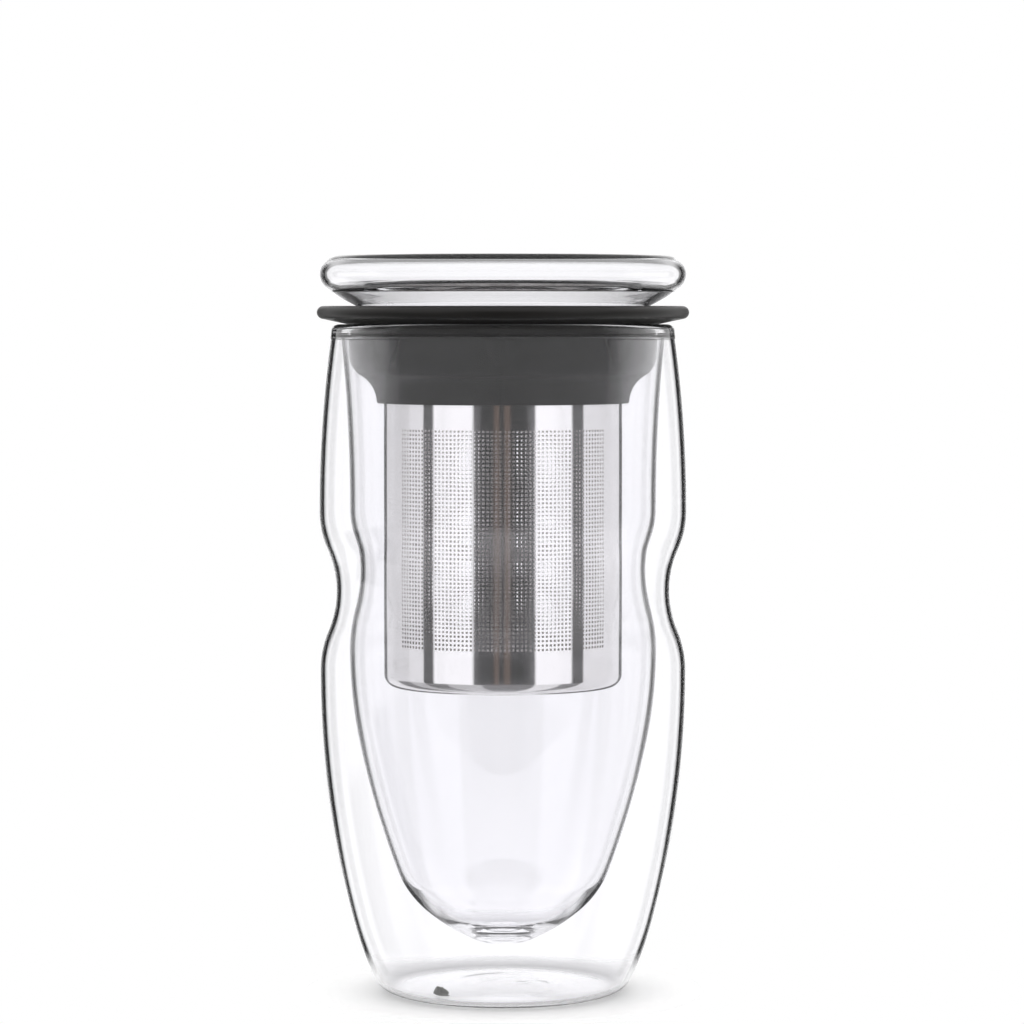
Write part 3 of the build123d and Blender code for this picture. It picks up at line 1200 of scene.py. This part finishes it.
@dataclass
class Studio:
    """The pale floor, the soft light all round, and the camera level with the rim.

    A strip says where a panel of light ends, in degrees to the right of the camera, and how bright
    it is. Heights of the light are the upward share of a direction.
    """

    floor: PaleFloor = field(default_factory=PaleFloor)
    floor_drop: float = 0.0001
    floor_rings: int = 12
    floor_segments: int = 96
    camera_place: Triple = (0.0021, -0.92, 0.158)
    aim: Triple = (0.0021, 0.0, 0.1122)
    lens: float = 138.75
    sensor: float = 36.0
    overhead: float = 1.5
    overhead_heights: Point = (0.14, 0.5)
    low_heights: Point = (-0.19, -0.25)
    warmth: float = 0.45
    warm_levels: Point = (0.075, 0.1)
    glass_sheen: float = 0.36
    sheen_front: Point = (-0.15, 0.3)
    sheen_walls: float = 7.5
    backdrop: float = 1.1
    strip_blend: float = 0.6
    low_strip_blend: float = 1.5
    strips: tuple[Point, ...] = (
        (-165, 1.1), (-148, 0.02), (-100, 0.85), (-81, 1.0),
        (-69, 0.015), (-28, 1.35), (-8.4, 0.015), (-3.6, 0.09),
        (1.2, 0.02), (7, 0.09), (30.6, 0.015), (68.7, 1.35),
        (82, 0.015), (148, 1.0), (165, 0.02), (180, 1.1),
    )
    low_strips: tuple[Point, ...] = (
        (-171, 1.0), (-152, 0.01), (-122, 1.0), (-100, 0.2),
        (-80, 0.6), (-55, 0.2), (-20, 0.6), (30, 0.15),
        (57, 1.0), (80, 0.25), (152, 1.0), (171, 0.01),
        (180, 1.0),
    )
    bounces: tuple[tuple[str, int], ...] = (
        ("max_bounces", 40),
        ("transmission_bounces", 36),
        ("glossy_bounces", 12),
        ("diffuse_bounces", 4),
        ("transparent_max_bounces", 16),
    )

    def panels(self, tree: Tree, turn: Socket, strips: tuple[Point, ...], soft: float) -> Socket:
        """Make a row of upright panels round the room.

        Args:
            tree: The world's node tree.
            turn: The way a ray goes, as a share of the full turn.
            strips: Where each panel ends and its brightness.
            soft: Half the width of the blend between two panels, in degrees.

        Returns:
            The panels' colour.
        """
        node = tree.add("ValToRGB", {"Fac": turn})
        stops = node.color_ramp.elements
        wanted = [(-180.0, strips[0][1])]
        for here, there in zip(strips, strips[1:]):
            wanted += [(here[0] - soft, here[1]), (here[0] + soft, there[1])]
        wanted.append((180.0, strips[-1][1]))
        while len(stops) < len(wanted):
            stops.new(0.5)
        for stop, (degrees, level) in zip(stops, wanted):
            stop.position = (degrees + 180) / 360
            warm = self.warmth if self.warm_levels[0] < level < self.warm_levels[1] else 0.0
            stop.color = (level * (1 + warm), level, level * (1 - warm / 2), 1)
        return node.outputs["Color"]

    def build_world(self) -> None:
        """The light: white behind the part, with dark and bright upright panels round the room."""
        world = bpy.data.worlds.new("studio_light")
        bpy.context.scene.world = world
        tree = Tree(world)
        tree.nodes.clear()
        place = tree.add("TexCoord").outputs["Generated"]
        way = tree.add("SeparateXYZ", {"Vector": place}).outputs
        ahead = tree.maths("MULTIPLY", way["Y"], -1.0)
        turn = tree.spread(tree.maths("ARCTAN2", way["X"], ahead), (-math.pi, math.pi))
        up = tree.spread(way["Z"], self.overhead_heights, smooth=True)
        down = tree.spread(way["Z"], self.low_heights, smooth=True)
        panels = self.panels(tree, turn, self.strips, self.strip_blend)
        low_panels = self.panels(tree, turn, self.low_strips, self.low_strip_blend)
        room = tree.blend(down, tree.blend(up, panels, (self.overhead,) * 3), low_panels)
        # Glass mirrors an even sheen in front and overhead, unless a ray has met many walls.
        path = tree.add("LightPath").outputs
        sheen = tree.maths("MAXIMUM", tree.spread(ahead, self.sheen_front, smooth=True), up)
        mirrored = tree.maths("GREATER_THAN", path["Glossy Depth"], 0.5)
        few_walls = tree.maths("LESS_THAN", path["Transmission Depth"], self.sheen_walls)
        for part in (mirrored, few_walls, path["Is Singular Ray"]):
            sheen = tree.maths("MULTIPLY", sheen, part)
        room = tree.blend(sheen, room, (self.glass_sheen,) * 3)
        # Straight through glass there is an even backdrop, and beside it plain white.
        through = tree.maths("GREATER_THAN", path["Transmission Depth"], 0.5)
        straight = tree.maths("SUBTRACT", through, mirrored, clamp=True)
        room = tree.blend(straight, room, (self.backdrop,) * 3)
        seen = tree.blend(path["Is Camera Ray"], room, (1.0, 1.0, 1.0))
        light = tree.add("Background", {"Color": seen})
        tree.add("OutputWorld", {"Surface": light.outputs[0]})

    def build_floor(self) -> None:
        """A pale round floor that melts into the white at its edge."""
        mesh = bmesh.new()
        reach, rings = self.floor.radius / MM, self.floor_rings
        spin(mesh, [(reach * i / rings, 0.0) for i in range(rings + 1)], self.floor_segments)
        floor = finish_mesh(mesh, "pale_floor")
        if floor.data.polygons[0].normal.z < 0:
            floor.data.flip_normals()
        floor.location.z = -self.floor_drop
        floor.data.materials.append(self.floor.material())

    def build_camera(self) -> None:
        """The camera, level with the rim and aimed at the middle of the view."""
        data = bpy.data.cameras.new("camera")
        data.lens, data.sensor_width = self.lens, self.sensor
        camera = bpy.data.objects.new("camera", data)
        camera.location = self.camera_place
        gaze = Vector(self.aim) - Vector(self.camera_place)
        camera.rotation_mode = "QUATERNION"
        camera.rotation_quaternion = gaze.to_track_quat("-Z", "Y")
        bpy.context.scene.collection.objects.link(camera)
        bpy.context.scene.camera = camera

    def build(self) -> None:
        """Set up light, floor, camera and how light is traced through the glass."""
        self.build_world()
        self.build_floor()
        self.build_camera()
        scene = bpy.context.scene
        scene.view_settings.view_transform = "Standard"
        for name, count in self.bounces:
            setattr(scene.cycles, name, count)


def main() -> None:
    """Build every part in order."""
    logging.basicConfig(level=logging.INFO, format="%(name)s: %(message)s")
    Studio().build()
    Tumbler().build()
    Basket().build()
    Collar().build()
    Lid().build()


if __name__ == "__main__":
    main()
